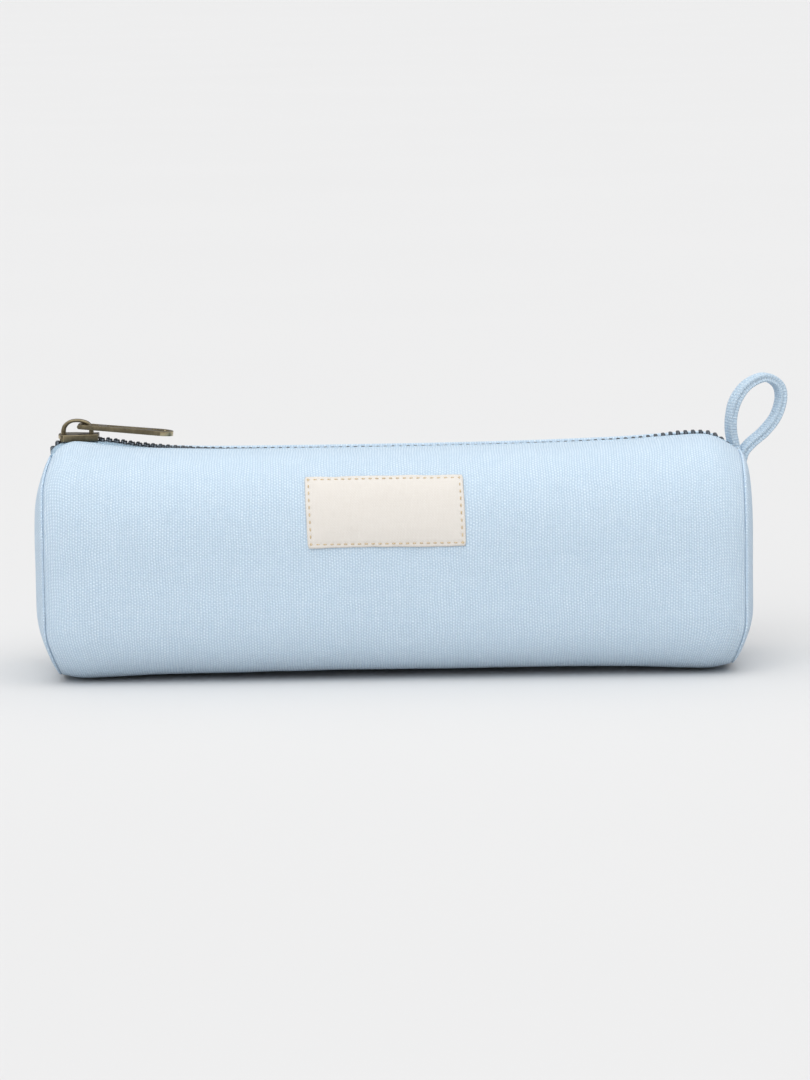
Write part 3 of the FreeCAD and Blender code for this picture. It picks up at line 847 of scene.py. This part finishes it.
def makeLoopStrip():
    look = loopLook
    frames = loopFrames(look["stations"])
    vertices, uvs = [], []
    around = look["around"]
    length = 0.0
    for i, (centre, outward, across) in enumerate(frames):
        if i:
            length += (centre - frames[i - 1][0]).length
        wave = 1 + 0.05 * math.sin(length / 2.6) + 0.05 * noise.noise(Vector((length / 5.0, 0, 0)))
        for j in range(around):
            angle = 2 * math.pi * j / around
            c, s = math.cos(angle), math.sin(angle)
            w = math.copysign(abs(c) ** 0.42, c) * look["width"] / 2 * wave
            n = math.copysign(abs(s) ** 0.55, s) * look["thickness"] / 2
            # a crease runs along each side, between the folded halves
            crease = math.exp(-(n / 0.4) ** 2) * 0.85 if abs(c) > 0.3 else 0.0
            w -= math.copysign(crease, w)
            # a line of stitches down the middle presses the strip together
            n -= math.copysign(0.3 * math.exp(-(w / 0.6) ** 2), n)
            point = rippled(centre + across * w + outward * n, outward, 0.18)
            vertices.append(point)
            uvs.append((length, j * 0.55))
    faces = gridFaces(len(frames), around, True)
    faces += [tuple(range(around)), tuple(range((len(frames) - 1) * around, len(frames) * around))[::-1]]
    strip = meshObject("loop_strip", vertices, faces, uvs, loopCanvas)
    facesOut(strip.data)
    return strip


strip = makeLoopStrip()
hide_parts("hanging_loop")
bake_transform(strip)
# the band as folded; the inner layers of the fold are not modelled
lift = loopLook["thickness"] / 2 - 0.2
path = [(centre + outward * lift, outward) for centre, outward, _ in loopFrames(loopLook["stations"])[6:-8]]
stitchLoop = stitchPiece("loop_stitch", topstitch, blueThread)
loopSeam = setAlong("loop_stitches", [path], topstitch["pitch"], stitchLoop, blueThread, 0.05, 31)
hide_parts("loop_stitching")
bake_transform(loopSeam)
print("loop made")


# ---- slider and pull
# marks the points that get edge wear and a painted highlight
def markEdgeWearAndHighlight(mesh, marks):
    attribute = mesh.attributes.new("edgeWearAndHighlight", "FLOAT", "POINT")
    attribute.data.foreach_set("value", marks)


edgeWearAndHighlightFace = 0.6    # square millimetres


def metalPiece(name, node, body, bevel):
    # the node's own form with its edges rounded
    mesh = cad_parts[node].data.copy()
    form = bmesh.new()
    form.from_mesh(mesh)
    bmesh.ops.remove_doubles(form, verts=form.verts[:], dist=0.00001)
    bmesh.ops.dissolve_limit(form, angle_limit=math.radians(1.5), verts=form.verts[:], edges=form.edges[:])
    form.normal_update()
    form.to_mesh(mesh)
    form.free()
    mesh.materials.clear()
    mesh.materials.append(antiqueBrass)
    piece = bpy.data.objects.new(name, mesh)
    scene.collection.objects.link(piece)
    rounding = piece.modifiers.new("rounding", "BEVEL")
    rounding.width = bevel * toMetres
    rounding.segments = 3
    rounding.limit_method = "ANGLE"
    rounding.angle_limit = math.radians(35)
    rounding.use_clamp_overlap = True
    bake(piece)
    # a point gets edge wear and a painted highlight where only the small faces of the rounding meet
    largest = [0.0] * len(piece.data.vertices)
    for face in piece.data.polygons:
        for vertex in face.vertices:
            largest[vertex] = max(largest[vertex], face.area)
    markEdgeWearAndHighlight(piece.data, [1.0 if area < edgeWearAndHighlightFace * toMetres ** 2 else 0.0 for area in largest])
    piece.data.polygons.foreach_set("use_smooth", [True] * len(piece.data.polygons))
    piece.data.set_sharp_from_angle(angle=math.radians(40))
    return place(piece, body, "slider_metal", node)


metalPiece("zip_slider", "slider_body", "slider", 0.22)


def sweptBar(name, look, material):
    # flat bar bent along a line in the xz plane, its edges rounded; the line's points are (x, z, thickness)
    count, around = look["rings"], 16
    spots = alongLine(look["line"], count)
    vertices = []
    for i, (x, z, thick) in enumerate(spots):
        a, b = spots[max(i - 1, 0)], spots[min(i + 1, count - 1)]
        travel = Vector((b[0] - a[0], b[1] - a[1])).normalized()
        for j in range(around):
            angle = 2 * math.pi * j / around
            w = math.copysign(abs(math.cos(angle)) ** 0.5, math.cos(angle)) * look["width"] / 2
            n = math.copysign(abs(math.sin(angle)) ** 0.6, math.sin(angle)) * thick / 2
            vertices.append((x - travel.y * n, w, z + travel.x * n))
    faces = gridFaces(count, around, True, True)
    faces += [tuple(range(around)), tuple(range((count - 1) * around, count * around))[::-1]]
    bar = meshObject(name, vertices, faces, None, material)
    facesOut(bar.data)
    # corners of the section are marked for edge wear and a painted highlight
    markEdgeWearAndHighlight(bar.data, [1.0 if k % around % 4 == 2 else 0.0 for k in range(count * around)])
    return bar


bridgeLook = {
    "width": 3.1, "rings": 40,
    "line": ((-100.4, 72.6, 1.6), (-100.5, 74.3, 1.45), (-99.9, 75.9, 1.3), (-98.1, 77.15, 1.0), (-95.4, 77.3, 0.95),
             (-93.0, 76.4, 1.1), (-92.1, 74.6, 1.3), (-92.0, 72.6, 1.5)),
}
place(sweptBar("zip_slider_bridge", bridgeLook, antiqueBrass), "slider", "slider_metal", "slider_bridge")
metalPiece("zip_pull", "pull_tab", "pull", 0.18)
print("slider made")


# ---- seam bindings inside
bindingLook = {
    "around": 72, "mouth": 8.0, "thickness": 0.4,
    # the tape folded over the seam's edge, as (distance in from the seam, depth under the skin)
    "fold": ((3.6, 4.1), (6.0, 4.1), (9.0, 4.1), (9.5, 4.6), (9.0, 5.1), (6.0, 5.1), (3.6, 5.1)),
}


def makeBinding(side):
    look = bindingLook
    vertices, uvs = [], []
    shares = np.linspace(0, 1, look["around"])
    for k, (back, depth) in enumerate(look["fold"]):
        places, _, alongs, _ = skinRow(side * (caseShape["seam"] - back), depth, look["mouth"], shares=shares)
        vertices += places
        uvs += [(2.0 * k, v) for v in alongs]
    faces = gridFaces(len(look["fold"]), look["around"], flip=side > 0)
    ring = meshObject(endNames[side] + "_binding", vertices, faces, uvs, bindingCloth)
    return thicken(ring, look["thickness"], 0.0)


for side in endNames:
    ring = makeBinding(side)
    place(ring, "root", "binding", endNames[side] + "_seam_binding")
print("bindings made")


# ---- floor and light
def paperMaterial():
    # matt backdrop paper, barely uneven
    material, tree, shader = newMaterial("backdrop paper, matt")
    place = addNode(tree, "ShaderNodeTexCoord").outputs["Object"]
    fleck = addNode(tree, "ShaderNodeTexNoise", None, {"Vector": place, "Scale": 3.0, "Detail": 2.0})
    colour = mixColours(tree, fleck.outputs[0], hexColour(studio["paper"][0]), hexColour(studio["paper"][1]))
    tree.links.new(colour, shader.inputs["Base Color"])
    shader.inputs["Roughness"].default_value = 0.95
    shader.inputs["Specular IOR Level"].default_value = 0.1
    return material


studio = {
    "paper": ("#d8d8d8", "#dadada"), "floorReach": 60.0,
    # sky, and a darker band near eye level that fades out between two heights
    "world": "#ffffff", "band": "#8c8c90", "bandTop": (0.2, 0.62), "worldStrength": 1.0,
    # wide soft sources; "from" points at the light, "spread" is how wide it looks in degrees
    "lights": (
        {"name": "studio_overhead", "from": (0.1, -0.35, 1.0), "spread": 60.0, "strength": 0.75},
        {"name": "studio_front", "from": (-0.35, -1.0, 0.6), "spread": 50.0, "strength": 1.0},
    ),
}


def makeStudio():
    s = studio
    reach = s["floorReach"] * 1000
    corners = [(x, y, 0.0) for x in (-reach, reach) for y in (-reach, reach)]
    meshObject("studio_floor", corners, [(0, 2, 3, 1)], None, paperMaterial())
    for look in s["lights"]:
        data = bpy.data.lights.new(look["name"], "SUN")
        data.angle = math.radians(look["spread"])
        data.energy = look["strength"]
        light = bpy.data.objects.new(look["name"], data)
        scene.collection.objects.link(light)
        light.rotation_euler = Vector(look["from"]).to_track_quat("Z", "Y").to_euler()
    world = bpy.data.worlds.new("studio")
    world.use_nodes = True
    scene.world = world
    # white overhead and darker near eye level, so that metal has something to reflect
    tree = world.node_tree
    direction = addNode(tree, "ShaderNodeTexCoord").outputs["Generated"]
    height = addNode(tree, "ShaderNodeSeparateXYZ", None, {0: direction}).outputs[2]
    share = addNode(tree, "ShaderNodeMapRange", {"interpolation_type": "SMOOTHSTEP"},
                    {"Value": height, "From Min": s["bandTop"][0], "From Max": s["bandTop"][1]}).outputs[0]
    sky = mixColours(tree, share, hexColour(s["band"]), hexColour(s["world"]))
    back = tree.nodes["Background"]
    tree.links.new(sky, back.inputs[0])
    back.inputs[1].default_value = s["worldStrength"]
    scene.view_settings.view_transform = "Standard"


makeStudio()
print("studio made")
